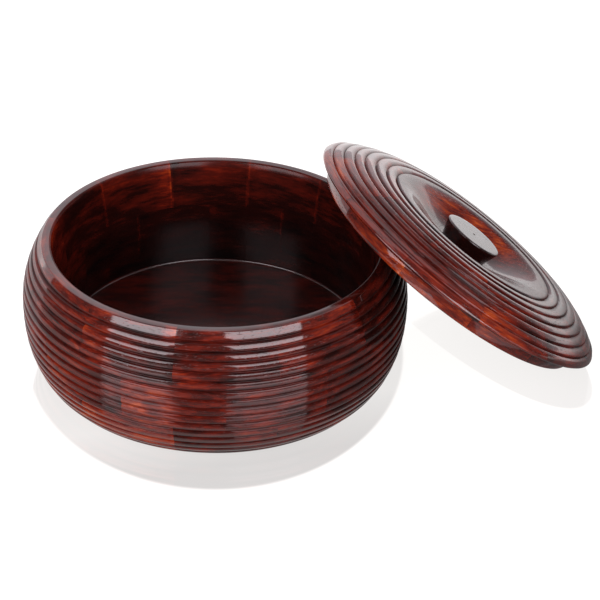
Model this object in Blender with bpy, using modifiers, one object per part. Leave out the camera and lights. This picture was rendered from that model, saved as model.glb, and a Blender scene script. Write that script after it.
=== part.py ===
"""Wooden roti box: a bellied round box glued up from blocks and turned, its lid leaning on the rim.

Metres, +Z up. The box stands on z = 0 with its axis on Z, and the lid leans on its rim on the +X side.
An outline is a list of (radius, height) points.
"""

import math
from bisect import bisect_right

import bmesh
import bpy
from mathutils import Matrix, Vector

# Joints and facets
GLUE_GAP = 0.0003          # left open at every joint between two pieces
BLOCK_COUNT = 12           # blocks in each course and in the lid's ring
BLOCK_STEPS = 4            # facets along one block's arc
CURVE_SAMPLES = 400        # points on a smooth curve before its beads are cut
MERGE_DISTANCE = 0.00001   # joins a turned outline's ends on the axis
SHARP_EDGE = math.radians(30)

# Box
HEIGHT = 0.0841
MOUTH_RADIUS = 0.097       # inside, at the rim
RIM_WIDTH = 0.0059         # flat top of the rim
BELLY_SWELL = 0.0121       # how far the belly stands out past the rim
BELLY_HEIGHT = 0.0454      # height of the widest place
SHOULDER_POWER = 2.08      # how late the side turns in towards the rim
FOOT_INSET = 0.0165        # how far the foot lies inside the belly
LOWER_POWER = 2.46         # how late the side turns in towards the foot
FOOT_TURN = 0.0119         # height where the foot starts to round under
FOOT_TUCK = 0.004          # the part of the inset that this rounding takes
WALL_AT_FLOOR = 0.0075     # from the foot's edge to the floor disc
FLOOR_THICKNESS = 0.0142
EASED_EDGE = 0.0008        # the sanded corners of rim and knob

# Courses of blocks: the top course takes the rest of the height
BOTTOM_COURSE = 0.0265
MIDDLE_COURSE = 0.0285
TOP_SEAM = math.radians(-102)     # a seam's direction about Z, from +X
MIDDLE_SEAM = math.radians(-117)
BOTTOM_SEAM = math.radians(-102)

# Turned beads on the wall
TOP_BAND = 0.00595         # the plain band below the rim, along the curve
BEAD_PITCH = 0.0056        # along the curve
BEAD_DEPTH = 0.0012
BEAD_POWER = 3             # how square a bead's crown is
BEAD_PLACES = (0.25, 0.75)        # where a bead's two shoulders lie across it

# Lid, in heights over the underside of its spigot
FLANGE_OVERHANG = 0.0005   # past the rim's outer edge
SPIGOT_CLEARANCE = 0.0038  # between spigot and mouth
SPIGOT_DEPTH = 0.009
RECESS_DEPTH = 0.001       # the underside inside the spigot's border
SPIGOT_BORDER = 0.009
EDGE_THICKNESS = 0.0034    # flange at the lid's edge
CROWN_RISE = 0.0162        # highest place over the flange's underside
CROWN_SPAN = 0.0414        # from the lid's edge in to the highest place
DOME_POWER = 2.2
RING_WIDTHS = (0.0043, 0.0058, 0.0063, 0.0062, 0.0073, 0.0077, 0.0073)   # from the edge in
RING_DEPTH = 0.001
RING_SEAM = math.radians(255)     # a seam's direction about the lid's axis

# Dish and knob
SHOULDER_WIDTH = 0.003     # from the innermost groove to the dish
DISH_DEPTH = 0.0109
DISH_SEGMENTS = 9
KNOB_BASE_RADIUS = 0.0158
KNOB_FLARE = 0.0032        # how much wider its top is
KNOB_HEIGHT = 0.0111
DOWEL_RADIUS = 0.004
DOWEL_IN_LID = 0.009
DOWEL_IN_KNOB = 0.0072
DOWEL_SEGMENTS = 16

# How the lid leans: on the table and on the rim's outer edge
LID_TILT = math.radians(35.72)
LID_DIRECTION = math.radians(11.17)      # about Z, from +X
LID_SIDESTEP = -0.0081     # of the lid's centre, across that direction
LEAN_CLEARANCE = 0.0003    # between lid and rim

rim_radius = MOUTH_RADIUS + RIM_WIDTH
belly_radius = rim_radius + BELLY_SWELL
foot_radius = belly_radius - FOOT_INSET
floor_radius = foot_radius - WALL_AT_FLOOR
lid_radius = rim_radius + FLANGE_OVERHANG
spigot_radius = MOUTH_RADIUS - SPIGOT_CLEARANCE
ring_joint_radius = lid_radius - sum(RING_WIDTHS)
crown_height = SPIGOT_DEPTH + CROWN_RISE
dish_floor = crown_height - DISH_DEPTH
block_angle = math.tau / BLOCK_COUNT
round_steps = BLOCK_COUNT * BLOCK_STEPS

# Lacquer colours, as (red, green, blue) in linear light
RED_BROWN = (0.135, 0.022, 0.014)
DARK_BROWN = (0.075, 0.013, 0.009)
ORANGE_RUBBED = (0.240, 0.050, 0.020)
BRIGHT_RED = (0.190, 0.026, 0.015)
BARE_WOOD = (0.430, 0.260, 0.130)
BLOCK_COLOURS = (RED_BROWN, DARK_BROWN, RED_BROWN, ORANGE_RUBBED, BRIGHT_RED)
LACQUER_ROUGHNESS = 0.22
BARE_ROUGHNESS = 0.7


def clear_scene():
    for obj in list(bpy.data.objects):
        bpy.data.objects.remove(obj, do_unlink=True)


def wood(name, colour, roughness=LACQUER_ROUGHNESS):
    """A Principled wood finish."""
    material = bpy.data.materials.new(name)
    material.use_nodes = True
    shader = material.node_tree.nodes["Principled BSDF"]
    shader.inputs["Base Color"].default_value = (*colour, 1)
    shader.inputs["Roughness"].default_value = roughness
    shader.inputs["Metallic"].default_value = 0
    material.diffuse_color = (*colour, 1)
    return material


def place(name, mesh, collection, parent, material):
    """An object for this mesh, shaded smooth between its edges."""
    mesh.shade_smooth()
    mesh.set_sharp_from_angle(angle=SHARP_EDGE)
    mesh.materials.append(material)
    obj = bpy.data.objects.new(name, mesh)
    collection.objects.link(obj)
    obj.parent = parent
    return obj


def crest_radius(height):
    """The wall's outer radius over its beads' crowns."""
    if height > BELLY_HEIGHT:
        share = (height - BELLY_HEIGHT) / (HEIGHT - BELLY_HEIGHT)
        return belly_radius - BELLY_SWELL * share**SHOULDER_POWER
    share = (BELLY_HEIGHT - height) / BELLY_HEIGHT
    radius = belly_radius - (FOOT_INSET - FOOT_TUCK) * share**LOWER_POWER
    if height < FOOT_TURN:
        turn = (FOOT_TURN - height) / FOOT_TURN
        radius -= FOOT_TUCK * (1 - math.sqrt(1 - turn**2))
    return radius


def dome_height(radius):
    """The lid's height over its beads' crowns, from the highest place out to the edge."""
    share = max(0, (radius - lid_radius + CROWN_SPAN) / CROWN_SPAN)
    return crown_height - (CROWN_RISE - EDGE_THICKNESS) * share**DOME_POWER


def inner_radius(height):
    """The wall's inner radius, upright beside the floor and straight from there to the mouth."""
    share = max(0, (height - FLOOR_THICKNESS) / (HEIGHT - FLOOR_THICKNESS))
    return floor_radius + (MOUTH_RADIUS - floor_radius) * share


def distances(curve):
    """The length along the curve at each of its points."""
    lengths = [0.0]
    for here, there in zip(curve, curve[1:]):
        lengths.append(lengths[-1] + math.dist(here, there))
    return lengths


def sunk_point(curve, lengths, along, depth):
    """The point at this length along the curve, sunk into the wood at right angles to it."""
    step = min(max(bisect_right(lengths, along), 1), len(curve) - 1)
    (r0, z0), (r1, z1) = curve[step - 1], curve[step]
    length = lengths[step] - lengths[step - 1]
    share = (along - lengths[step - 1]) / length
    radius = r0 + (r1 - r0) * share + depth * (z1 - z0) / length
    height = z0 + (z1 - z0) * share - depth * (r1 - r0) / length
    return radius, height


def beaded(curve, grooves, depth):
    """The curve with rounded beads between grooves at these lengths along it, without its two ends."""
    lengths = distances(curve)
    borders = [0.0, *grooves, lengths[-1]]
    points = []
    for start, end in zip(borders, borders[1:]):
        if points:
            points.append(sunk_point(curve, lengths, start, depth))
        for place_across in BEAD_PLACES:
            sink = depth * abs(2 * place_across - 1) ** BEAD_POWER
            points.append(sunk_point(curve, lengths, start + (end - start) * place_across, sink))
    return points


def wall_outline():
    """The box's outer side, from the top of the rim down to the foot."""
    curve = []
    for step in range(CURVE_SAMPLES + 1):
        height = HEIGHT * (1 - step / CURVE_SAMPLES)
        curve.append((crest_radius(height), height))
    room = distances(curve)[-1] - TOP_BAND - BEAD_PITCH
    count = math.floor(room / BEAD_PITCH) + 1
    grooves = [TOP_BAND + BEAD_PITCH * step for step in range(count)]
    rim_edge = (rim_radius - EASED_EDGE, HEIGHT)
    return [rim_edge, *beaded(curve, grooves, BEAD_DEPTH), (foot_radius, 0)]


def radius_on(outline, height):
    """Where a falling outline crosses this height."""
    for (r0, z0), (r1, z1) in zip(outline, outline[1:]):
        if z0 >= height >= z1 and z0 > z1:
            return r0 + (r1 - r0) * (z0 - height) / (z0 - z1)
    return outline[-1][0]


def course_outline(outer, low, high):
    """One course's closed outline, cut from the wall between two heights."""
    points = [(radius_on(outer, high), high)]
    points += [point for point in outer if low < point[1] < high]
    points.append((radius_on(outer, low), low))
    points.append((inner_radius(low), low))
    if low < FLOOR_THICKNESS < high:
        points.append((floor_radius, FLOOR_THICKNESS))
    if high < HEIGHT:
        points.append((inner_radius(high), high))
    else:
        points.append((inner_radius(HEIGHT - EASED_EDGE), HEIGHT - EASED_EDGE))
        points.append((MOUTH_RADIUS + EASED_EDGE, HEIGHT))
    return points


def ring_curve():
    """The lid's upper side from the ring's joint out to the edge and down it, over the beads."""
    span = lid_radius - ring_joint_radius
    curve = []
    for step in range(CURVE_SAMPLES + 1):
        radius = ring_joint_radius + span * step / CURVE_SAMPLES
        curve.append((radius, dome_height(radius)))
    return curve


def ring_outline():
    """The closed outline of the lid's ring of blocks."""
    curve = ring_curve()
    lengths = distances(curve)
    inward = lid_radius
    grooves = []
    for width in RING_WIDTHS[:-1]:
        inward -= width
        grooves.append(next(along for (radius, _), along in zip(curve, lengths) if radius >= inward))
    upper = beaded(curve, reversed(grooves), RING_DEPTH)
    edge_top = dome_height(lid_radius)
    recess_radius = spigot_radius - SPIGOT_BORDER
    return [
        sunk_point(curve, lengths, 0, RING_DEPTH),
        *upper,
        (lid_radius, edge_top - EASED_EDGE),
        (lid_radius, SPIGOT_DEPTH),
        (spigot_radius, SPIGOT_DEPTH),
        (spigot_radius, EASED_EDGE),
        (spigot_radius - EASED_EDGE, 0),
        (recess_radius, 0),
        (recess_radius - RECESS_DEPTH, RECESS_DEPTH),
        (ring_joint_radius, RECESS_DEPTH),
    ]


def block_mesh(name, outline, start):
    """One block: the closed outline swept round the axis, with a glue gap to the next block."""
    sweep = block_angle - GLUE_GAP / min(radius for radius, _ in outline)
    turn = Matrix.Rotation(start + (block_angle - sweep) / 2, 3, "Z")
    shape = bmesh.new()
    corners = [shape.verts.new(turn @ Vector((radius, 0, height))) for radius, height in outline]
    edges = [shape.edges.new(pair) for pair in zip(corners, corners[1:] + corners[:1])]
    bmesh.ops.spin(shape, geom=corners + edges, cent=(0, 0, 0), axis=(0, 0, 1),
                   angle=sweep, steps=BLOCK_STEPS, use_merge=False, use_duplicate=False)
    open_edges = [edge for edge in shape.edges if edge.is_boundary]
    bmesh.ops.holes_fill(shape, edges=open_edges, sides=0)
    bmesh.ops.recalc_face_normals(shape, faces=shape.faces)
    mesh = bpy.data.meshes.new(name)
    shape.to_mesh(mesh)
    shape.free()
    return mesh


def ring_of_blocks(prefix, outline, seam, first_tone, collection, parent):
    """One course of blocks, with their lacquer's tone changing from block to block."""
    for number in range(BLOCK_COUNT):
        name = f"{prefix}_{number + 1:02d}"
        mesh = block_mesh(name, outline, seam + block_angle * number)
        colour = BLOCK_COLOURS[(first_tone + number) % len(BLOCK_COLOURS)]
        place(name, mesh, collection, parent, wood(name + "_lacquer", colour))


def turned(name, outline, collection, parent, material):
    """A round piece: its outline, top to bottom down the outer side, turned about Z."""
    mesh = bpy.data.meshes.new(name)
    points = [(radius, 0, height) for radius, height in outline]
    mesh.from_pydata(points, [(step, step + 1) for step in range(len(points) - 1)], [])
    obj = place(name, mesh, collection, parent, material)
    screw = obj.modifiers.new("Turning", "SCREW")
    screw.axis = "Z"
    screw.angle = math.tau
    screw.steps = round_steps
    screw.render_steps = round_steps
    screw.use_merge_vertices = True
    screw.merge_threshold = MERGE_DISTANCE
    screw.use_smooth_shade = True
    return obj


def cylinder(name, radius, low, high, segments, turn, collection, parent, material):
    """An upright cylinder between two heights, turned about its axis."""
    shape = bmesh.new()
    middle = Matrix.Translation((0, 0, (low + high) / 2)) @ Matrix.Rotation(turn, 4, "Z")
    bmesh.ops.create_cone(shape, cap_ends=True, cap_tris=False, segments=segments,
                          radius1=radius, radius2=radius, depth=high - low, matrix=middle)
    mesh = bpy.data.meshes.new(name)
    shape.to_mesh(mesh)
    shape.free()
    return place(name, mesh, collection, parent, material)


def build_box(collection, box):
    """The three courses and the floor between the lowest blocks."""
    outer = wall_outline()
    middle_top = BOTTOM_COURSE + MIDDLE_COURSE
    courses = (
        ("wall_block_top", middle_top + GLUE_GAP, HEIGHT, TOP_SEAM),
        ("wall_block_middle", BOTTOM_COURSE + GLUE_GAP, middle_top, MIDDLE_SEAM),
        ("wall_block_bottom", 0, BOTTOM_COURSE, BOTTOM_SEAM),
    )
    for tone, (prefix, low, high, seam) in enumerate(courses):
        ring_of_blocks(prefix, course_outline(outer, low, high), seam, tone, collection, box)
    cylinder("floor_disc", floor_radius - GLUE_GAP, 0, FLOOR_THICKNESS, round_steps, BOTTOM_SEAM,
             collection, box, wood("floor_lacquer", DARK_BROWN))


def dish_points():
    """The smooth hollow, from the knob's seat up to the shoulder."""
    dish_radius = ring_joint_radius - SHOULDER_WIDTH
    points = []
    for step in range(DISH_SEGMENTS + 1):
        share = step / DISH_SEGMENTS
        radius = KNOB_BASE_RADIUS + (dish_radius - KNOB_BASE_RADIUS) * share
        rise = DISH_DEPTH * (1 - math.cos(math.pi * share)) / 2
        points.append((radius, dish_floor + rise))
    return points


def build_lid(collection, lid):
    """The ring of blocks, the centre disc, the knob and its hidden dowel, about the lid's own axis."""
    ring_of_blocks("lid_block", ring_outline(), RING_SEAM, 0, collection, lid)
    disc_radius = ring_joint_radius - GLUE_GAP
    hole_radius = DOWEL_RADIUS + GLUE_GAP
    hole_bottom = dish_floor - DOWEL_IN_LID
    disc = [
        (0, hole_bottom),
        (hole_radius, hole_bottom),
        (hole_radius, dish_floor),
        *dish_points(),
        (disc_radius, crown_height - RING_DEPTH),
        (disc_radius, RECESS_DEPTH),
        (0, RECESS_DEPTH),
    ]
    turned("lid_centre_disc", disc, collection, lid, wood("lid_centre_lacquer", RED_BROWN))
    knob_seat = dish_floor + GLUE_GAP
    knob_top = dish_floor + KNOB_HEIGHT
    knob_radius = KNOB_BASE_RADIUS + KNOB_FLARE
    hole_top = knob_seat + DOWEL_IN_KNOB
    knob = [
        (0, knob_top),
        (knob_radius - EASED_EDGE, knob_top),
        (knob_radius, knob_top - EASED_EDGE),
        (KNOB_BASE_RADIUS, knob_seat),
        (hole_radius, knob_seat),
        (hole_radius, hole_top),
        (0, hole_top),
    ]
    turned("knob", knob, collection, lid, wood("knob_lacquer", DARK_BROWN))
    cylinder("knob_dowel", DOWEL_RADIUS, hole_bottom + GLUE_GAP, hole_top - GLUE_GAP,
             DOWEL_SEGMENTS, 0, collection, lid, wood("dowel_bare_wood", BARE_WOOD, BARE_ROUGHNESS))


def lean(lid):
    """Sets the lid down so that its edge touches the table and its underside the rim."""
    rise = math.cos(LID_TILT)
    run = math.sin(LID_TILT)
    height = max(radius * run - level * rise for radius, level in ring_outline())
    reach = max(radius * run + level * rise for radius, level in wall_outline())
    outward = (reach + LEAN_CLEARANCE - RECESS_DEPTH - height * rise) / run
    across = LID_DIRECTION + math.pi / 2
    lid.location = (
        outward * math.cos(LID_DIRECTION) + LID_SIDESTEP * math.cos(across),
        outward * math.sin(LID_DIRECTION) + LID_SIDESTEP * math.sin(across),
        height,
    )
    lid.rotation_euler = (0, LID_TILT, LID_DIRECTION)


def main():
    clear_scene()
    collection = bpy.data.collections.new("wooden_roti_box")
    bpy.context.scene.collection.children.link(collection)
    box = bpy.data.objects.new("box", None)
    lid = bpy.data.objects.new("lid", None)
    collection.objects.link(box)
    collection.objects.link(lid)
    build_box(collection, box)
    build_lid(collection, lid)
    lean(lid)


main()
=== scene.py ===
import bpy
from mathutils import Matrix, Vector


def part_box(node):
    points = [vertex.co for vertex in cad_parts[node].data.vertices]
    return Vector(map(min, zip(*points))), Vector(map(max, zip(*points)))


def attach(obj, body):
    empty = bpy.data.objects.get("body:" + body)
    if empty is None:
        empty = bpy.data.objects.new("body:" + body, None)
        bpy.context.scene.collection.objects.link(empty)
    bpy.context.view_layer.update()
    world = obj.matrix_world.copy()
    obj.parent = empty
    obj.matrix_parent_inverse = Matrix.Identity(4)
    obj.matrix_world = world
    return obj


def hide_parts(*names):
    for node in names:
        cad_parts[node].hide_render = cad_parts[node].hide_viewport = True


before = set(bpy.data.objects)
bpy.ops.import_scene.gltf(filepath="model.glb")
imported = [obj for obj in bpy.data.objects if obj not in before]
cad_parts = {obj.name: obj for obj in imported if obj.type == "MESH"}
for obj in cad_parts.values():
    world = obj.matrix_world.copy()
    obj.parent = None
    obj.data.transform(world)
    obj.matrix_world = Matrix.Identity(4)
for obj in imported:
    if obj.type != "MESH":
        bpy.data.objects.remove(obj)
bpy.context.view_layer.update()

import math
from bisect import bisect_right

import bmesh
import bpy
from mathutils import Matrix, Vector

mm = 0.001
print("frame loaded:", len(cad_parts), "nodes")

# Everyday helpers


def linear(hexColour):
    channels = [int(hexColour[place:place + 2], 16) / 255 for place in (1, 3, 5)]
    return tuple(c / 12.92 if c <= 0.04045 else ((c + 0.055) / 1.055) ** 2.4 for c in channels)


def addNode(tree, kind, inputs=None, **settings):
    node = tree.nodes.new("ShaderNode" + kind)
    for name, value in settings.items():
        setattr(node, name, value)
    for name, value in (inputs or {}).items():
        if isinstance(value, bpy.types.NodeSocket):
            tree.links.new(value, node.inputs[name])
        else:
            node.inputs[name].default_value = value
    return node


def startMaterial(name):
    material = bpy.data.materials.new(name)
    material.use_nodes = True
    material.node_tree.nodes.clear()
    return material, material.node_tree


sharpAngle = math.radians(35)


def finishPiece(name, shape):
    mesh = bpy.data.meshes.new(name)
    shape.to_mesh(mesh)
    shape.free()
    mesh.shade_smooth()
    mesh.set_sharp_from_angle(angle=sharpAngle)
    piece = bpy.data.objects.new(name, mesh)
    bpy.context.scene.collection.objects.link(piece)
    return piece


def dress(piece, material, body, node):
    piece.data.materials.append(material)
    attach(piece, body)
    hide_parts(node)


# Beads, as the lathe leaves them

# A bead from the groove above or inside it to the next: share of its width, share of the groove's depth,
# and how dull the lacquer is there, since only the crests are rubbed to a shine; the same value darkens the
# colour in the grooves, partly stain and partly painted shade
beadShapes = {
    "box": (
        (0, 1, 1), (0.04, 0.97, 1), (0.08, 0.8, 1), (0.12, 0.56, 0.95), (0.17, 0.33, 0.8),
        (0.23, 0.17, 0.6), (0.3, 0.075, 0.35), (0.38, 0.025, 0.12), (0.47, 0, 0), (0.56, 0.005, 0),
        (0.65, 0.03, 0.12), (0.73, 0.075, 0.3), (0.8, 0.15, 0.5), (0.86, 0.28, 0.75), (0.9, 0.48, 0.9),
        (0.94, 0.8, 1), (0.97, 0.97, 1),
    ),
    "lid": (
        (0, 1, 0.9), (0.05, 0.93, 0.8), (0.1, 0.75, 0.55), (0.18, 0.5, 0.35), (0.27, 0.28, 0.2),
        (0.37, 0.11, 0.1), (0.47, 0.03, 0), (0.58, 0, 0), (0.7, 0.01, 0), (0.8, 0.04, 0.1),
        (0.87, 0.12, 0.35), (0.92, 0.32, 0.7), (0.96, 0.68, 0.9),
    ),
}
beadDepth = {"box": 1.0 * mm, "lid": 0.95 * mm}
plainBefore = 0.5  # the first bead has its shape from this share of its width on
plainAfter = 0.6  # and the last one up to this share


def lengthsAlong(curve):
    lengths = [0.0]
    for here, there in zip(curve, curve[1:]):
        lengths.append(lengths[-1] + math.dist(here, there))
    return lengths


def sunkPoint(curve, lengths, along, sink):  # a point on the curve, sunk into the wood
    step = min(max(bisect_right(lengths, along), 1), len(curve) - 1)
    (r0, z0), (r1, z1) = curve[step - 1], curve[step]
    length = lengths[step] - lengths[step - 1]
    share = (along - lengths[step - 1]) / length
    return (r0 + (r1 - r0) * share + sink * (z1 - z0) / length,
            z0 + (z1 - z0) * share - sink * (r1 - r0) / length)


def turnedBeads(curve, grooves, kind, startsInGroove=False):
    # As (radius, height, dullness): beads roll over softly on one side and drop sharply on the other
    lengths = lengthsAlong(curve)
    borders = [0.0, *grooves, lengths[-1]]
    points = []
    for number, (start, end) in enumerate(zip(borders, borders[1:])):
        startsPlain = number == 0 and not startsInGroove
        endsPlain = number == len(borders) - 2
        if startsPlain:
            points.append((*curve[0], 0.0))
        for share, sink, dull in beadShapes[kind]:
            if (startsPlain and share < plainBefore) or (endsPlain and share > plainAfter):
                continue
            along = start + (end - start) * share
            points.append((*sunkPoint(curve, lengths, along, sink * beadDepth[kind]), dull))
    points.append((*curve[-1], 0.0))
    return points


# The box's form, as turned: the same sizes as the frame's

boxForm = {
    "height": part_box("wall_block_top_01")[1].z,
    "mouthRadius": 97 * mm,
    "rimWidth": 5.9 * mm,
    "bellySwell": 12.1 * mm,
    "bellyHeight": 45.4 * mm,
    "shoulderPower": 2.08,
    "footInset": 16.5 * mm,
    "lowerPower": 2.46,
    "footTurn": 11.9 * mm,
    "footTuck": 4 * mm,
    "wallAtFloor": 7.5 * mm,
    "floorThickness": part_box("floor_disc")[1].z,
    "topBand": 5.95 * mm,
    "beadPitch": 5.6 * mm,
    "rimEasing": 1.1 * mm,
    "cornerReach": 1.3,  # in rim easings: how far down the rounded corner replaces the turned side
    "flareFrom": 40 * mm,
    "flarePower": 1.6,
    "insideSteps": 8,
    "curveSamples": 600,
    "glueLine": 0.28 * mm,  # closes the gap between two courses down to a hairline
}
boxForm["rimRadius"] = boxForm["mouthRadius"] + boxForm["rimWidth"]
boxForm["bellyRadius"] = boxForm["rimRadius"] + boxForm["bellySwell"]
boxForm["footRadius"] = boxForm["bellyRadius"] - boxForm["footInset"]
boxForm["floorRadius"] = boxForm["footRadius"] - boxForm["wallAtFloor"]


def crestRadius(height):
    form = boxForm
    if height > form["bellyHeight"]:
        share = (height - form["bellyHeight"]) / (form["height"] - form["bellyHeight"])
        return form["bellyRadius"] - form["bellySwell"] * share ** form["shoulderPower"]
    share = (form["bellyHeight"] - height) / form["bellyHeight"]
    radius = form["bellyRadius"] - (form["footInset"] - form["footTuck"]) * share ** form["lowerPower"]
    if height < form["footTurn"]:
        turn = (form["footTurn"] - height) / form["footTurn"]
        radius -= form["footTuck"] * (1 - math.sqrt(1 - turn ** 2))
    return radius


def innerRadius(height):  # upright above the floor, then flaring to the mouth
    form = boxForm
    share = max(0, (height - form["flareFrom"]) / (form["height"] - form["flareFrom"]))
    return form["floorRadius"] + (form["mouthRadius"] - form["floorRadius"]) * share ** form["flarePower"]


def wallOutline():
    form = boxForm
    curve = []
    for step in range(form["curveSamples"] + 1):
        height = form["height"] * (1 - step / form["curveSamples"])
        curve.append((crestRadius(height), height))
    total = lengthsAlong(curve)[-1]
    grooves = []
    along = form["topBand"]
    while along < total - form["beadPitch"]:
        grooves.append(along)
        along += form["beadPitch"]
    ease = form["rimEasing"]
    corner = []
    for turn in (90, 72, 54, 36, 18):  # the rim's outer corner, rounded
        angle = math.radians(turn)
        corner.append((form["rimRadius"] - ease * (1 - math.cos(angle)),
                       form["height"] - ease * (1 - math.sin(angle)), 0))
    side = turnedBeads(curve, grooves, "box")
    return corner + [point for point in side if point[1] < form["height"] - ease * form["cornerReach"]]


def pointAt(outline, height):
    for (r0, z0, dull0), (r1, z1, dull1) in zip(outline, outline[1:]):
        if z0 >= height >= z1 and z0 > z1:
            share = (z0 - height) / (z0 - z1)
            return (r0 + (r1 - r0) * share, height, dull0 + (dull1 - dull0) * share)
    return outline[-1]


def courseOutline(outer, low, high):  # its outer and its inner side
    form = boxForm
    hasRim = high >= form["height"]
    ease = form["rimEasing"] if hasRim else 0
    outside = [] if hasRim else [pointAt(outer, high)]
    outside += [point for point in outer if low < point[1] <= high]
    outside.append(pointAt(outer, low))
    inside = []
    for step in range(form["insideSteps"] + 1):
        height = low + (high - ease - low) * step / form["insideSteps"]
        inside.append((innerRadius(height), height, 0))
    if hasRim:  # the rim's inner corner, rounded
        for turn in (30, 60, 90):
            angle = math.radians(turn)
            inside.append((form["mouthRadius"] + ease * (1 - math.cos(angle)),
                           form["height"] - ease * (1 - math.sin(angle)), 0))
    return outside, inside


# Outlines spun into blocks and discs

# Their finish reads these from the mesh: board is the place in the grain's pattern, across the place from
# one seam to the other, tone the colour before the brush, brushed how much lighter the brush made it,
# groove the dullness and the grooves' stain and painted shade, inside the stain's thickness and painted
# shade inside the box, and seams how far the seams are worn
blockCount = 12
blockSteps = 20
blockAngle = math.tau / blockCount
seamGap = 0.02 * mm
stainAndShadeAtMouth = 0.25  # how thick the stain and painted shade are inside at the mouth, where they are 1 at the floor
patchSquareness = 4
mergeDistance = 0.001 * mm


def insideShade(height):  # the stain lies thicker towards the floor, and the darkening there is painted shade too
    share = (height - boxForm["floorThickness"]) / (boxForm["height"] - boxForm["floorThickness"])
    return 1 - (1 - stainAndShadeAtMouth) * min(1, max(0, share))


def patchLift(patches, angle, level):  # patches: angle, level, their half widths, and how much lighter
    total = 0
    for atAngle, atLevel, halfAngle, halfLevel, lift in patches:
        turn = (angle - atAngle + 180) % 360 - 180
        away = (turn / halfAngle) ** patchSquareness + ((level - atLevel) / halfLevel) ** patchSquareness
        total += lift / (1 + away)
    return total


def grainPlace(start, step, number):  # each block is cut from another stretch of wood
    return [first + further * number for first, further in zip(start, step)]


def makeBlock(name, outline, insideFrom, start, tone, seams, grainStart, frameMatrix,
              patches=(), underBelow=None):
    # A closed outline spun through its share of the circle. In mm, a patch's level is its height on the
    # wall, and its radius on the lid, where underBelow is the height between the underside and the rest
    shape = bmesh.new()
    groove = shape.verts.layers.float.new("groove")
    inside = shape.verts.layers.float.new("inside")
    gapAngle = seamGap / outline[0][0]
    corners = []
    for number, (radius, height, dull) in enumerate(outline):
        vert = shape.verts.new((radius, 0, height))
        vert[groove] = dull
        # the inside darkens towards the floor: stain and painted shade
        vert[inside] = insideShade(height) if number >= insideFrom else 0.0
        corners.append(vert)
    edges = [shape.edges.new(pair) for pair in zip(corners, corners[1:] + corners[:1])]
    bmesh.ops.rotate(shape, verts=corners, cent=(0, 0, 0),
                     matrix=Matrix.Rotation(start + gapAngle / 2, 3, "Z"))
    bmesh.ops.spin(shape, geom=corners + edges, cent=(0, 0, 0), axis=(0, 0, 1),
                   angle=blockAngle - gapAngle, steps=blockSteps, use_merge=False, use_duplicate=False)
    ends = [edge for edge in shape.edges if edge.is_boundary]
    bmesh.ops.holes_fill(shape, edges=ends, sides=0)
    bmesh.ops.triangulate(shape, faces=[face for face in shape.faces if len(face.verts) > 4])
    bmesh.ops.recalc_face_normals(shape, faces=shape.faces)

    board = shape.verts.layers.float_vector.new("board")
    across = shape.verts.layers.float.new("across")
    toneLayer = shape.verts.layers.float.new("tone")
    brushedLayer = shape.verts.layers.float.new("brushed")
    seamLayer = shape.verts.layers.float_vector.new("seams")
    unturn = Matrix.Rotation(-(start + blockAngle / 2), 3, "Z")
    for vert in shape.verts:
        flat = unturn @ vert.co
        vert[board] = Vector((flat.y, flat.x, flat.z)) + Vector(grainStart)
        vert[across] = math.atan2(flat.y, flat.x) / (blockAngle / 2)
        if underBelow is None:
            side = "inside" if vert[inside] > 0 else "outside"
            level = vert.co.z
        else:
            side = "under" if vert.co.z < underBelow else "outside"
            level = math.hypot(vert.co.x, vert.co.y)
        here = [patch[1:] for patch in patches if patch[0] == side]
        angle = math.degrees(math.atan2(vert.co.y, vert.co.x))
        vert[toneLayer] = tone
        vert[brushedLayer] = patchLift(here, angle, level / mm)
        vert[seamLayer] = (*seams, 0)
    for face in shape.faces:
        face.material_index = int(all(vert[inside] > 0 for vert in face.verts))
    shape.transform(frameMatrix)
    return finishPiece(name, shape)


def spunPiece(name, outline, steps, tone, grainStart, frameMatrix, patches=()):
    # A full turn of an outline that starts and ends on the axis
    shape = bmesh.new()
    groove = shape.verts.layers.float.new("groove")
    corners = []
    for radius, height, dull in outline:
        vert = shape.verts.new((radius, 0, height))
        vert[groove] = dull
        corners.append(vert)
    edges = [shape.edges.new(pair) for pair in zip(corners, corners[1:])]
    bmesh.ops.spin(shape, geom=corners + edges, cent=(0, 0, 0), axis=(0, 0, 1),
                   angle=math.tau, steps=steps, use_merge=True, use_duplicate=False)
    bmesh.ops.remove_doubles(shape, verts=shape.verts, dist=mergeDistance)
    bmesh.ops.recalc_face_normals(shape, faces=shape.faces)

    board = shape.verts.layers.float_vector.new("board")
    toneLayer = shape.verts.layers.float.new("tone")
    brushedLayer = shape.verts.layers.float.new("brushed")
    for vert in shape.verts:
        angle = math.degrees(math.atan2(vert.co.y, vert.co.x))
        radius = math.hypot(vert.co.x, vert.co.y)
        vert[board] = vert.co + Vector(grainStart)
        vert[toneLayer] = tone
        vert[brushedLayer] = patchLift(patches, angle, radius / mm)
    shape.transform(frameMatrix)
    return finishPiece(name, shape)


# Finishes

# Mango or sheesham blocks under glossy red-brown spirit lacquer, rubbed thin in places: a deep wet shine
# over streaks that run along each block, near black where the stain lies thick and painted shade is laid
# on, orange where it is thin
lacquerTones = (
    (0.00, "#0b0404"),
    (0.25, "#1f0705"),
    (0.45, "#450f08"),
    (0.60, "#681a0b"),
    (0.75, "#8e310e"),
    (0.88, "#b24d18"),
    (1.00, "#d07a2e"),
)
woodGrain = {  # sizes along the board, across it and up it, in mm
    "mottle": {"size": (26, 9, 7), "detail": 3},
    "streaks": {"size": (14, 2.2, 1.8), "detail": 4},
    "fibres": {"size": (5, 0.5, 0.45), "detail": 2},
}
grainRoughness = 0.6
brushStrokes = {"streaks": (0.3, 0.7), "strength": (0.6, 1.25)}  # a patch is uneven, as its streaks are
openPores = {"size": (2.6, 0.45, 0.45), "noise": (0.66, 0.74), "insideFull": 0.2}  # the inside has none
lacquerWaves = {"size": 9 * mm, "strength": 0.6}


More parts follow.
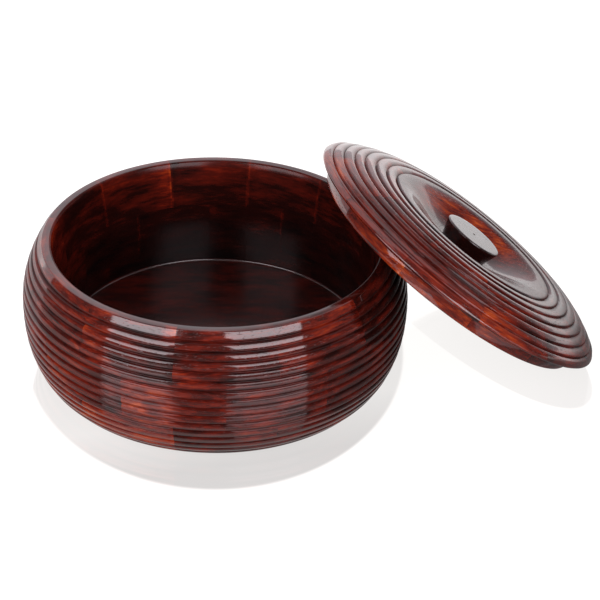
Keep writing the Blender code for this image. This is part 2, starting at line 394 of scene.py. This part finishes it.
def lacqueredWood(name, look):
    material, tree = startMaterial(name)
    given = {layer: addNode(tree, "Attribute", attribute_name=layer)
             for layer in ("board", "across", "seams", "tone", "brushed", "groove", "inside")}
    board = given["board"].outputs["Vector"]
    across = given["across"].outputs["Fac"]
    groove = given["groove"].outputs["Fac"]
    inside = given["inside"].outputs["Fac"]

    value = given["tone"].outputs["Fac"]
    noises = {}
    for kind, grain in woodGrain.items():
        stretched = addNode(tree, "Mapping", {
            "Vector": board, "Scale": [1 / (size * mm) for size in grain["size"]]})
        noises[kind] = addNode(tree, "TexNoise", {
            "Vector": stretched.outputs[0], "Scale": 1, "Detail": grain["detail"],
            "Roughness": grainRoughness})
        centred = addNode(tree, "Math", {0: noises[kind].outputs["Fac"], 1: 0.5}, operation="SUBTRACT")
        value = addNode(tree, "Math", {0: centred.outputs[0], 1: look[kind], 2: value},
                        operation="MULTIPLY_ADD").outputs[0]
    strokes = addNode(tree, "MapRange", {
        "Value": noises["streaks"].outputs["Fac"],
        "From Min": brushStrokes["streaks"][0], "From Max": brushStrokes["streaks"][1],
        "To Min": brushStrokes["strength"][0], "To Max": brushStrokes["strength"][1]})
    # darker in the grooves and inside the box: partly stain, partly painted shade
    for amount, weight in (
        (given["brushed"].outputs["Fac"], strokes.outputs[0]),
        (groove, -look["grooveStainAndShade"]),
        (inside, -look["insideStainAndShade"]),
    ):
        value = addNode(tree, "Math", {0: amount, 1: weight, 2: value},
                        operation="MULTIPLY_ADD").outputs[0]
    seams = addNode(tree, "SeparateXYZ", {0: given["seams"].outputs["Vector"]})
    for side, end in enumerate((-1, 1)):  # the stain wears through along some glue joints
        line = addNode(tree, "MapRange", {
            "Value": across, "From Min": end * look["seamStart"], "From Max": end * look["seamFull"]})
        worn = addNode(tree, "Math", {0: line.outputs[0], 1: seams.outputs[side]}, operation="MULTIPLY")
        value = addNode(tree, "Math", {0: value, 1: worn.outputs[0]}, operation="ADD").outputs[0]

    ramp = addNode(tree, "ValToRGB", {"Fac": value})
    stops = ramp.color_ramp.elements
    for number, (position, colour) in enumerate(lacquerTones):
        stop = stops[number] if number < 2 else stops.new(position)
        stop.position = position
        stop.color = (*linear(colour), 1)

    pores = addNode(tree, "Mapping", {
        "Vector": board, "Scale": [1 / (size * mm) for size in openPores["size"]]})
    poreNoise = addNode(tree, "TexNoise", {"Vector": pores.outputs[0], "Scale": 1, "Detail": 1})
    poreDepth = addNode(tree, "MapRange", {
        "Value": poreNoise.outputs["Fac"],
        "From Min": openPores["noise"][0], "From Max": openPores["noise"][1]})
    unfilled = addNode(tree, "MapRange", {
        "Value": inside, "From Max": openPores["insideFull"], "To Min": 1, "To Max": 0})
    pore = addNode(tree, "Math", {0: poreDepth.outputs[0], 1: unfilled.outputs[0]}, operation="MULTIPLY")
    wave = addNode(tree, "TexNoise", {"Vector": board, "Scale": 1 / lacquerWaves["size"], "Detail": 1})
    relief = addNode(tree, "Math", {0: pore.outputs[0], 1: -look["poreDepth"], 2: wave.outputs["Fac"]},
                     operation="MULTIPLY_ADD")
    bump = addNode(tree, "Bump", {
        "Height": relief.outputs[0], "Strength": lacquerWaves["strength"], "Distance": look["relief"]})

    rubbed = addNode(tree, "Math", {0: groove, 1: -look["grooveDullness"], 2: look["shine"]},
                     operation="MULTIPLY_ADD")
    shader = addNode(tree, "BsdfPrincipled", {
        "Base Color": ramp.outputs["Color"], "Roughness": 0.5, "IOR": 1.4, "Specular IOR Level": 0.0,
        "Coat Weight": rubbed.outputs[0], "Coat Roughness": look["coatRoughness"],
        "Coat IOR": look["coatIor"], "Normal": bump.outputs[0], "Coat Normal": bump.outputs[0]})
    addNode(tree, "OutputMaterial", {"Surface": shader.outputs[0]})
    return material


# Outside: coats of lacquer rubbed up on the lathe, so the crests mirror the room sharply
blockLook = {
    "mottle": 0.8, "streaks": 0.55, "fibres": 0.2, "grooveStainAndShade": 0.09, "insideStainAndShade": 0.34,
    "shine": 1, "grooveDullness": 0.8, "coatRoughness": 0.07, "coatIor": 1.7,
    "poreDepth": 0.5, "relief": 0.12 * mm, "seamStart": 0.94, "seamFull": 0.975,
}
# Inside: brushed on and left, with a soft weak shine; darker by its stain and by painted shade
insideLook = blockLook | {
    "mottle": 0.7, "streaks": 0.34, "fibres": 0.1,
    "shine": 0.5, "coatRoughness": 0.2, "coatIor": 1.5, "poreDepth": 0,
}
# The floor: brushed too, in a heavier coat that mirrors the room broadly
floorLook = insideLook | {
    "mottle": 0.6, "streaks": 0.35, "shine": 1, "coatRoughness": 0.24, "coatIor": 1.8,
}
# The knob and the disc under it: one calmer board each, rubbed up as the blocks, the dish a little less
knobLook = blockLook | {"mottle": 0.6, "streaks": 0.35}
discLook = knobLook | {"shine": 0.8}
blockFinish = lacqueredWood("spiritLacqueredSheeshamBlocks", blockLook)
insideFinish = lacqueredWood("brushLacqueredSheeshamInside", insideLook)
discFinish = lacqueredWood("spiritLacqueredSheeshamDisc", discLook)
knobFinish = lacqueredWood("spiritLacqueredSheeshamKnob", knobLook)
floorFinish = lacqueredWood("brushLacqueredFloorWood", floorLook)

dowelLook = {"grain": 1.5 * mm, "dark": "#a9855a", "pale": "#cfae80"}


def bareWood():
    # Planed softwood dowel: pale, dull, with fine straight grain
    material, tree = startMaterial("planedDowelWood")
    place = addNode(tree, "TexCoord").outputs["Object"]
    grain = addNode(tree, "TexNoise", {"Vector": place, "Scale": 1 / dowelLook["grain"], "Detail": 3})
    ramp = addNode(tree, "ValToRGB", {"Fac": grain.outputs["Fac"]})
    for stop, colour in zip(ramp.color_ramp.elements, (dowelLook["dark"], dowelLook["pale"])):
        stop.color = (*linear(colour), 1)
    shader = addNode(tree, "BsdfPrincipled", {"Base Color": ramp.outputs["Color"], "Roughness": 0.7})
    addNode(tree, "OutputMaterial", {"Surface": shader.outputs[0]})
    return material


dowelFinish = bareWood()
print("finishes made")

# The wall: three courses of blocks, each block turned with its neighbours

wallCourses = {
    # firstSeam: degrees about Z from +X. tones: from that seam on, anticlockwise seen from above, the first
    # two in front. wornSeams: those that show as a thin red line inside. grainStart: metres in the grain
    "top": {
        "firstSeam": -102, "wornSeams": (5, 6, 7, 8), "grainStart": (0, 0.51, 0),
        "tones": (0.43, 0.42, 0.32, 0.39, 0.40, 0.44, 0.44, 0.46, 0.42, 0.56, 0.50, 0.44),
    },
    "middle": {
        "firstSeam": -117, "wornSeams": (6, 8), "grainStart": (0, 1.02, 0),
        "tones": (0.48, 0.47, 0.42, 0.36, 0.38, 0.38, 0.42, 0.40, 0.42, 0.52, 0.58, 0.48),
    },
    "bottom": {
        "firstSeam": -102, "wornSeams": (), "grainStart": (0, 1.02, 0),
        "tones": (0.47, 0.47, 0.40, 0.38, 0.40, 0.50, 0.42, 0.40, 0.48, 0.60, 0.68, 0.66),
    },
}
wallGrainStep = (0.31, 0, 0.23)
wornLift = 0.1
wallPatches = {
    # where the stain is brushed thinner or thicker: side, degrees from +X, height, half widths, lift
    "top.01": (("outside", -95, 62, 7, 10, 0.12),),
    "top.02": (("outside", -53, 79, 10, 5, 0.16), ("outside", -66, 61, 6, 3, 0.2)),
    "top.06": (("inside", 72, 82, 14, 5, 0.14),),
    "top.07": (("inside", 88, 82, 9, 5, 0.14),),
    "top.08": (("inside", 109, 70, 5, 16, 0.2), ("inside", 126, 79, 10, 6, 0.1)),
    "top.12": (("outside", -128, 68, 6, 10, 0.2), ("outside", -112, 56, 9, 10, -0.09),
               ("outside", -103, 82, 3, 3, 0.3)),
    "middle.01": (("outside", -110, 38, 10, 15, 0.2),),
    "middle.12": (("outside", -142, 33, 9, 10, 0.16),),
}


def buildWall():
    outer = wallOutline()
    for course, plan in wallCourses.items():
        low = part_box(f"wall_block_{course}_01")[0].z
        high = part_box(f"wall_block_{course}_01")[1].z
        if low > 0:
            low -= boxForm["glueLine"]
        outside, inside = courseOutline(outer, low, high)
        for number, tone in enumerate(plan["tones"]):
            label = f"{number + 1:02d}"
            start = math.radians(plan["firstSeam"]) + blockAngle * number
            seams = [wornLift if seam % blockCount in plan["wornSeams"] else 0
                     for seam in (number, number + 1)]
            piece = makeBlock(f"turnedBlock.{course}.{label}", outside + inside, len(outside), start,
                              tone, seams, grainPlace(plan["grainStart"], wallGrainStep, number),
                              Matrix.Identity(4), wallPatches.get(f"{course}.{label}", ()))
            dress(piece, blockFinish, "box", f"wall_block_{course}_{label}")
            piece.data.materials.append(insideFinish)
    print("wall turned:", len(wallCourses), "courses of", blockCount, "blocks")


# The floor disc, with a small cove of glue and lacquer round its edge

floorForm = {"clearance": 0.05 * mm, "cove": 1.3 * mm, "rings": (0.2, 0.4, 0.6, 0.8), "steps": 192,
             "tone": 0.30, "grainStart": (2.1, 0.3, 0)}


def buildFloorDisc():
    radius = boxForm["floorRadius"] - floorForm["clearance"]
    top = boxForm["floorThickness"]
    cove = floorForm["cove"]
    outline = [(0, top, 0)] + [(radius * share, top, 0) for share in floorForm["rings"]]
    for turn in range(0, 91, 15):
        angle = math.radians(turn)
        outline.append((radius - cove * (1 - math.sin(angle)), top + cove * (1 - math.cos(angle)), 0))
    outline += [(radius, 0, 0), (0, 0, 0)]
    piece = spunPiece("turnedFloorDisc", outline, floorForm["steps"], floorForm["tone"],
                      floorForm["grainStart"], Matrix.Identity(4))
    dress(piece, floorFinish, "box", "floor_disc")


buildWall()
buildFloorDisc()

# The lid, in its own frame: heights over the underside of its spigot

lidForm = {
    "flangeOverhang": 0.5 * mm,
    "spigotClearance": 3.8 * mm,
    "spigotDepth": 9 * mm,
    "recessDepth": 1 * mm,
    "spigotBorder": 9 * mm,
    "edgeThickness": 3.4 * mm,
    "crownRise": 16.2 * mm,
    "crownSpan": 41.4 * mm,
    "domePower": 2.2,
    "ringWidths": (4.3 * mm, 5.8 * mm, 6.3 * mm, 6.2 * mm, 7.3 * mm, 7.7 * mm, 7.3 * mm),
    "ringSeam": 255,
    "shoulderWidth": 3 * mm,
    "dishDepth": 10.9 * mm,
    "edgeRounding": 1.6 * mm,
    "edgeReach": 0.6,  # in edge roundings: how far in the rounded edge replaces the last bead
    "underEdge": ((0, 1.7, 0), (0.3, 1.1, 0), (1.2, 0.35, 0.3), (2.2, 0, 0.6)),  # mm in, mm up, dullness, which also darkens the colour: painted shade under the flange and at the spigot's corner
    "spigotCorner": 0.6 * mm,
    "spigotEdge": ((0, 0.8), (0.3, 0.3), (0.8, 0)),  # mm in, mm up
    "curveSamples": 500,
    "tilt": 35.72,
    "direction": 11.17,
    "sidestep": -8.1 * mm,
    "leanClearance": 0.3 * mm,
}
lidForm["radius"] = boxForm["rimRadius"] + lidForm["flangeOverhang"]
lidForm["spigotRadius"] = boxForm["mouthRadius"] - lidForm["spigotClearance"]
lidForm["jointRadius"] = lidForm["radius"] - sum(lidForm["ringWidths"])
lidForm["crownHeight"] = lidForm["spigotDepth"] + lidForm["crownRise"]
lidForm["dishFloor"] = lidForm["crownHeight"] - lidForm["dishDepth"]


def domeHeight(radius):
    form = lidForm
    share = max(0, (radius - form["radius"] + form["crownSpan"]) / form["crownSpan"])
    return form["crownHeight"] - (form["crownRise"] - form["edgeThickness"]) * share ** form["domePower"]


def ringOutline():  # the ring of blocks in section, its upper side with the edge and its underside
    form = lidForm
    joint = form["jointRadius"]
    curve = []
    for step in range(form["curveSamples"] + 1):
        radius = joint + (form["radius"] - joint) * step / form["curveSamples"]
        curve.append((radius, domeHeight(radius)))
    lengths = lengthsAlong(curve)
    grooves = []
    inward = form["radius"]
    for width in form["ringWidths"][:-1]:
        inward -= width
        grooves.insert(0, next(along for (radius, _), along in zip(curve, lengths) if radius >= inward))
    points = turnedBeads(curve, grooves, "lid", startsInGroove=True)
    edge = form["edgeRounding"]
    upper = [point for point in points if point[0] < form["radius"] - edge * form["edgeReach"]]
    for turn in (55, 35, 15, 0):
        angle = math.radians(turn)
        upper.append((form["radius"] - edge * (1 - math.cos(angle)),
                      domeHeight(form["radius"]) - edge * (1 - math.sin(angle)), 0))
    for inward, up, dull in form["underEdge"]:
        upper.append((form["radius"] - inward * mm, form["spigotDepth"] + up * mm, dull))
    cornerDull = form["underEdge"][-1][-1]
    recess = form["spigotRadius"] - form["spigotBorder"]
    under = [
        (form["spigotRadius"] + form["spigotCorner"], form["spigotDepth"], cornerDull),
        (form["spigotRadius"], form["spigotDepth"] - form["spigotCorner"], cornerDull),
        *((form["spigotRadius"] - inward * mm, up * mm, 0) for inward, up in form["spigotEdge"]),
        (recess, 0, 0),
        (recess - form["recessDepth"], form["recessDepth"], 0),
        ((recess + joint) / 2, form["recessDepth"], 0),
        (joint, form["recessDepth"], 0),
    ]
    return upper, under


def lidPlace():  # leaning, with its lowest edge on the table and its recess on the rim
    rise = math.cos(math.radians(lidForm["tilt"]))
    run = math.sin(math.radians(lidForm["tilt"]))
    upper, under = ringOutline()
    height = max(radius * run - level * rise for radius, level, _ in upper + under)
    reach = max(radius * run + level * rise for radius, level, _ in wallOutline())
    outward = (reach + lidForm["leanClearance"] - lidForm["recessDepth"] - height * rise) / run
    turn = Matrix.Rotation(math.radians(lidForm["direction"]), 4, "Z")
    slide = Matrix.Translation((outward, lidForm["sidestep"], height))
    return turn @ slide @ Matrix.Rotation(math.radians(lidForm["tilt"]), 4, "Y")


lidMatrix = lidPlace()
ringPlan = {
    "tones": (0.45, 0.44, 0.41, 0.38, 0.38, 0.40, 0.42, 0.46, 0.55, 0.56, 0.52, 0.50),
    "spigotPatch": ("under", 240, 93, 33, 5, 0.22),
    "patches": {  # side, degrees in the lid's frame, radius, half widths, lift
        1: (("outside", 261, 95, 9, 10, 0.22),),
        10: (("outside", 172, 97, 12, 8, 0.12),),
        11: (("outside", 205, 90, 12, 8, -0.08),),
    },
    "sideMargin": 0.1 * mm,  # the underside starts this far below the flange
    "grainStart": (5, 0.4, 0),
    "grainStep": (0.37, 0, 0.29),
}


def buildLidRing():
    upper, under = ringOutline()
    outline = upper + under
    for number, tone in enumerate(ringPlan["tones"]):
        label = f"{number + 1:02d}"
        start = math.radians(lidForm["ringSeam"]) + blockAngle * number
        grainStart = grainPlace(ringPlan["grainStart"], ringPlan["grainStep"], number)
        patches = (ringPlan["spigotPatch"], *ringPlan["patches"].get(number + 1, ()))
        piece = makeBlock(f"turnedLidBlock.{label}", outline, len(outline), start, tone, (0, 0), grainStart,
                          lidMatrix, patches, underBelow=lidForm["spigotDepth"] - ringPlan["sideMargin"])
        dress(piece, blockFinish, "lid", f"lid_block_{label}")


# The disc in the ring, dished, and the knob in its dish

discForm = {
    "clearance": 0.03 * mm,
    "underKnob": 0.6,  # of the knob's radius: a ring on the flat that it hides
    "dishSteps": 28,
    "shoulderSteps": 6,
    "shoulderPower": 4,
    "steps": 192,
    "tone": 0.41,
    "grainStart": (1.3, 2.2, 0.4),
    "patches": (  # degrees in the lid's frame, radius, half widths, lift
        (68, 40, 72, 9, 0.3),
        (60, 53, 70, 4, -0.1),
        (262, 30, 72, 26, -0.16),
    ),
}
knobForm = {
    "baseRadius": 15.8 * mm,
    "flare": 3.2 * mm,
    "height": 11.1 * mm,
    "seatGap": 0.05 * mm,
    "topRounding": 0.9 * mm,
    "topRings": (0.3, 0.6, 0.85),
    "markRadius": 1.1 * mm,
    "markDepth": 0.5 * mm,
    "markShape": ((0, 1, 1), (0.5, 0.8, 1), (1, 0, 0)),  # shares of its radius and depth, and dullness
    "dowelRadius": 4 * mm,
    "dowelInLid": 9 * mm,
    "dowelInKnob": 7.2 * mm,
    "dowelClearance": 0.1 * mm,
    "sideSteps": 8,
    "steps": 96,
    "tone": 0.25,
    "grainStart": (3.3, 1.2, 0.8),
}
holeRadius = knobForm["dowelRadius"] + knobForm["dowelClearance"]


def buildLidDisc():
    form = lidForm
    base = knobForm["baseRadius"]
    discRadius = form["jointRadius"] - discForm["clearance"]
    shoulder = form["jointRadius"] - form["shoulderWidth"]
    holeEnd = form["dishFloor"] - knobForm["dowelInLid"]
    outline = [
        (0, holeEnd, 0),
        (holeRadius, holeEnd, 0),
        (holeRadius, form["dishFloor"], 0),
        (base * discForm["underKnob"], form["dishFloor"], 0),
    ]
    for step in range(discForm["dishSteps"] + 1):
        share = step / discForm["dishSteps"]
        height = form["dishFloor"] + form["dishDepth"] * (1 - math.cos(math.pi * share)) / 2
        outline.append((base + (shoulder - base) * share, height, 0))
    for step in range(1, discForm["shoulderSteps"] + 1):  # rolls over into the innermost groove
        share = step / discForm["shoulderSteps"]
        sunk = share ** discForm["shoulderPower"]
        outline.append((shoulder + (discRadius - shoulder) * share,
                        form["crownHeight"] - beadDepth["lid"] * sunk, sunk))
    outline += [(discRadius, form["recessDepth"], 0), (discRadius / 2, form["recessDepth"], 0),
                (0, form["recessDepth"], 0)]
    piece = spunPiece("turnedLidDisc", outline, discForm["steps"], discForm["tone"],
                      discForm["grainStart"], lidMatrix, discForm["patches"])
    dress(piece, discFinish, "lid", "lid_centre_disc")


def buildKnob():
    form = knobForm
    base = lidForm["dishFloor"] + form["seatGap"]
    top = lidForm["dishFloor"] + form["height"]
    radius = form["baseRadius"] + form["flare"]
    rounding = form["topRounding"]
    outline = [
        (form["markRadius"] * out, top - form["markDepth"] * down, dull)  # left by the lathe's centre
        for out, down, dull in form["markShape"]
    ]
    outline += [(radius * share, top, 0) for share in form["topRings"]]
    for turn in (90, 65, 40, 15, -5):
        angle = math.radians(turn)
        outline.append((radius - rounding * (1 - math.cos(angle)),
                        top - rounding * (1 - math.sin(angle)), 0))
    for step in range(1, form["sideSteps"] + 1):
        share = step / form["sideSteps"]
        outline.append((radius - form["flare"] * share,
                        top - rounding - (top - rounding - base) * share, 0))
    holeEnd = base + form["dowelInKnob"]
    outline += [(holeRadius, base, 0), (holeRadius, holeEnd, 0), (0, holeEnd, 0)]
    piece = spunPiece("turnedKnob", outline, form["steps"], form["tone"], form["grainStart"], lidMatrix)
    dress(piece, knobFinish, "lid", "knob")


buildLidRing()
buildLidDisc()
buildKnob()
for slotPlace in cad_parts["knob_dowel"].material_slots:  # hidden, so its plain shape stays
    slotPlace.material = dowelFinish
print("lid turned: a ring of", blockCount, "blocks, the dished disc and its knob")

# The table, a white glossy sheet with two zones of painted shade and reflection on it, below the lid and
# below the box

tableLook = {
    "halfSize": 8.0,
    "colour": "#5c5c5c",
    "tint": "#fffdfb",
    "whiteness": 0.99,
    "polish": 2.2,
    "polishRoughness": 0.045,
    "shadeZoneEdge": (0.985, 1.006),  # a zone's soft edge, as shares of its half widths
}
# Zones of painted shade and reflection. Places and half widths are in mm. The whiteness changes from the
# first to the second value between two ends along a direction, and inGloss is what the zone adds to the
# white that gloss shows
paintedShadeZones = (
    {
        "centre": (154, 76), "halves": (144, 44), "turn": 116.2,
        "along": (1, 0), "ends": (120, 225), "whiteness": (0.93, 0.81), "inGloss": 0,
    },
    {
        "centre": (0, 18), "halves": (117, 151), "turn": 0,
        "along": (-0.25, 0.95), "ends": (-106, -60), "whiteness": (0.61, 0.775), "inGloss": 0.35,
    },
)
glossFades = (  # the white that gloss shows: it grows towards the back, and towards the left
    {"along": (0.35, 0.94), "ends": (150, 390), "whiteness": (0.1, 0.95)},
    {"along": (-1, 0), "ends": (60, 200), "whiteness": (0, 0.3)},
)


def seenRays(tree, direct, reflected):  # a strength for the camera and one for gloss and clear bodies
    path = addNode(tree, "LightPath")
    through = addNode(tree, "Math", {
        0: path.outputs["Is Glossy Ray"], 1: path.outputs["Is Transmission Ray"]}, operation="MAXIMUM")
    through = addNode(tree, "Math", {0: through.outputs[0], 1: reflected}, operation="MULTIPLY")
    seen = addNode(tree, "Math", {0: path.outputs["Is Camera Ray"], 1: direct, 2: through.outputs[0]},
                   operation="MULTIPLY_ADD")
    return seen.outputs[0]


def fadeAlong(tree, place, fade):  # whiteness that changes evenly between two lines across the table
    along = addNode(tree, "VectorMath", {0: place, 1: (*fade["along"], 0)}, operation="DOT_PRODUCT")
    start, end = fade["ends"]
    first, last = fade["whiteness"]
    return addNode(tree, "MapRange", {
        "Value": along.outputs["Value"], "From Min": start * mm, "From Max": end * mm,
        "To Min": first, "To Max": last}).outputs[0]


def buildTable():
    # Polished white acrylic: white all through, under a hard clear shine
    shape = bmesh.new()
    bmesh.ops.create_grid(shape, x_segments=1, y_segments=1, size=tableLook["halfSize"])
    table = finishPiece("tableTop", shape)
    material, tree = startMaterial("polishedWhiteAcrylic")
    diffuse = addNode(tree, "BsdfDiffuse", {"Color": (*linear(tableLook["colour"]), 1)})
    gloss = addNode(tree, "BsdfGlossy", {"Color": (1, 1, 1, 1), "Roughness": tableLook["polishRoughness"]})
    polish = addNode(tree, "Fresnel", {"IOR": tableLook["polish"]})
    sheet = addNode(tree, "MixShader", {0: polish.outputs[0], 1: diffuse.outputs[0], 2: gloss.outputs[0]})
    place = addNode(tree, "TexCoord").outputs["Object"]
    direct = tableLook["whiteness"]
    inGloss = addNode(tree, "Math", {
        number: fadeAlong(tree, place, fade) for number, fade in enumerate(glossFades)},
        operation="ADD").outputs[0]
    # the zones darken the white that the camera sees: painted shade and reflection under the box and the
    # lid
    for shadeZone in paintedShadeZones:
        ellipse = addNode(tree, "Mapping", {
            "Vector": place, "Location": (shadeZone["centre"][0] * mm, shadeZone["centre"][1] * mm, 0),
            "Rotation": (0, 0, math.radians(shadeZone["turn"])),
            "Scale": (shadeZone["halves"][0] * mm, shadeZone["halves"][1] * mm, 1)}, vector_type="TEXTURE")
        distance = addNode(tree, "VectorMath", {0: ellipse.outputs[0]}, operation="LENGTH").outputs["Value"]
        direct = addNode(tree, "MapRange", {
            "Value": distance,
            "From Min": tableLook["shadeZoneEdge"][0], "From Max": tableLook["shadeZoneEdge"][1],
            "To Min": fadeAlong(tree, place, shadeZone), "To Max": direct},
            interpolation_type="SMOOTHSTEP").outputs[0]
        within = addNode(tree, "Math", {0: distance, 1: 1}, operation="LESS_THAN")
        inGloss = addNode(tree, "Math", {0: within.outputs[0], 1: shadeZone["inGloss"], 2: inGloss},
                          operation="MULTIPLY_ADD").outputs[0]
    white = addNode(tree, "Emission", {
        "Color": (*linear(tableLook["tint"]), 1), "Strength": seenRays(tree, direct, inGloss)})
    both = addNode(tree, "AddShader", {0: sheet.outputs[0], 1: white.outputs[0]})
    addNode(tree, "OutputMaterial", {"Surface": both.outputs[0]})
    table.data.materials.append(material)


# Dark cloths behind the camera and the soft boxes, as the room behind a photographer: only gloss shows them

clothLook = {"radius": 2.6, "radiance": 0.12, "rows": 16, "columns": 48}
darkCloths = (
    # in degrees: from and to are angles from the front towards +X, lowest and highest are heights above the
    # table, and fades is how far each of these four ends thins out
    {"from": -115, "to": 105, "lowest": 0, "highest": 86, "fades": (0, 0, 0, 8)},
    {"from": 105, "to": 158, "lowest": -4, "highest": 56, "fades": (0, 14, 19, 24)},
    {"from": 150, "to": 179, "lowest": 22, "highest": 56, "fades": (10, 5, 12, 9)},
)


def buildDarkCloth(name, cloth, material):
    shape = bmesh.new()
    corners = []
    for row in range(clothLook["rows"] + 1):
        rise = (cloth["highest"] - cloth["lowest"]) * row / clothLook["rows"]
        height = math.radians(cloth["lowest"] + rise)
        corners.append(shape.verts.new((0, -clothLook["radius"] * math.cos(height),
                                        clothLook["radius"] * math.sin(height))))
    edges = [shape.edges.new(pair) for pair in zip(corners, corners[1:])]
    bmesh.ops.rotate(shape, verts=corners, cent=(0, 0, 0),
                     matrix=Matrix.Rotation(math.radians(cloth["from"]), 3, "Z"))
    bmesh.ops.spin(shape, geom=corners + edges, cent=(0, 0, 0), axis=(0, 0, 1),
                   steps=clothLook["columns"], angle=math.radians(cloth["to"] - cloth["from"]),
                   use_merge=False, use_duplicate=False)
    cover = shape.verts.layers.float.new("cover")
    for vert in shape.verts:
        turned = math.degrees(math.atan2(vert.co.x, -vert.co.y))
        height = math.degrees(math.asin(vert.co.z / clothLook["radius"]))
        spans = (turned - cloth["from"], cloth["to"] - turned,
                 height - cloth["lowest"], cloth["highest"] - height)
        vert[cover] = min([1] + [span / fade for span, fade in zip(spans, cloth["fades"]) if fade])
    screen = finishPiece(name, shape)
    screen.data.materials.append(material)
    for rays in ("camera", "diffuse", "transmission", "volume_scatter", "shadow"):
        setattr(screen, "visible_" + rays, False)


def buildDarkCloths():
    # Grey felt in the dark: an even dim grey, thinning out where cover does
    material, tree = startMaterial("greyStudioCloth")
    felt = addNode(tree, "Emission", {"Color": (1, 1, 1, 1), "Strength": clothLook["radiance"]})
    clear = addNode(tree, "BsdfTransparent")
    cover = addNode(tree, "Attribute", attribute_name="cover").outputs["Fac"]
    hung = addNode(tree, "MixShader", {0: cover, 1: clear.outputs[0], 2: felt.outputs[0]})
    addNode(tree, "OutputMaterial", {"Surface": hung.outputs[0]})
    for number, cloth in enumerate(darkCloths):
        buildDarkCloth(f"darkStudioCloth{number + 1}", cloth, material)


# Two large soft boxes in front, a weak one behind, and white surroundings

softBoxes = (
    # azimuth from the front towards +X and elevation in degrees, sizes in metres
    {"azimuth": -45, "elevation": 27, "distance": 1.9, "width": 1.28, "height": 1.24, "radiance": 4.3},
    {"azimuth": 30, "elevation": 27, "distance": 1.9, "width": 1.38, "height": 1.24, "radiance": 4.3},
    {"azimuth": -175, "elevation": 34, "distance": 2.4, "width": 2.0, "height": 1.0, "radiance": 0.28},
)
surround = {"seen": 1.0, "light": 0.6, "tint": "#fff7fd"}


def buildSoftBoxes():
    target = Vector((0, 0, boxForm["bellyHeight"]))
    for number, softBox in enumerate(softBoxes):
        lamp = bpy.data.lights.new(f"softBox{number + 1}", "AREA")
        lamp.shape = "RECTANGLE"
        lamp.size = softBox["width"]
        lamp.size_y = softBox["height"]
        lamp.color = linear(surround["tint"])
        lamp.energy = softBox["radiance"] * math.pi * softBox["width"] * softBox["height"]
        lampObject = bpy.data.objects.new(lamp.name, lamp)
        azimuth = math.radians(softBox["azimuth"])
        elevation = math.radians(softBox["elevation"])
        away = Vector((math.sin(azimuth) * math.cos(elevation), -math.cos(azimuth) * math.cos(elevation),
                       math.sin(elevation)))
        lampObject.location = target + away * softBox["distance"]
        lampObject.rotation_euler = away.to_track_quat("Z", "Y").to_euler()
        lampObject.visible_camera = False
        bpy.context.scene.collection.objects.link(lampObject)


def buildSurround():
    world = bpy.data.worlds.new("whiteStudio")
    world.use_nodes = True
    tree = world.node_tree
    tree.nodes.clear()
    strength = addNode(tree, "MapRange", {
        "Value": seenRays(tree, 1, 1), "To Min": surround["light"], "To Max": surround["seen"]})
    path = addNode(tree, "LightPath")
    tint = addNode(tree, "Mix", {"Factor": path.outputs["Is Camera Ray"]}, data_type="RGBA")
    tint.inputs["A"].default_value = (*linear(surround["tint"]), 1)
    tint.inputs["B"].default_value = (1, 1, 1, 1)
    background = addNode(tree, "Background", {
        "Color": tint.outputs["Result"], "Strength": strength.outputs[0]})
    addNode(tree, "OutputWorld", {"Surface": background.outputs[0]})
    bpy.context.scene.world = world


# The camera, at the photograph's place

cameraPlace = {
    "location": (0, -0.8848, 0.5927),
    "yaw": 3.270,
    "pitch": 31.918,
    "roll": 2.207,
    "lens": 103.69,
    "sensor": 36,
}


def buildCamera():
    data = bpy.data.cameras.new("photographCamera")
    data.lens = cameraPlace["lens"]
    data.sensor_width = cameraPlace["sensor"]
    camera = bpy.data.objects.new("photographCamera", data)
    turn = Matrix.Rotation(math.radians(-cameraPlace["yaw"]), 4, "Z")
    tip = Matrix.Rotation(math.radians(90 - cameraPlace["pitch"]), 4, "X")
    roll = Matrix.Rotation(math.radians(cameraPlace["roll"]), 4, "Z")
    camera.matrix_world = Matrix.Translation(cameraPlace["location"]) @ turn @ tip @ roll
    bpy.context.scene.collection.objects.link(camera)
    bpy.context.scene.camera = camera


buildTable()
buildDarkCloths()
buildSoftBoxes()
buildSurround()
buildCamera()
bpy.context.scene.view_settings.view_transform = "Standard"
print("table, soft boxes and camera placed")
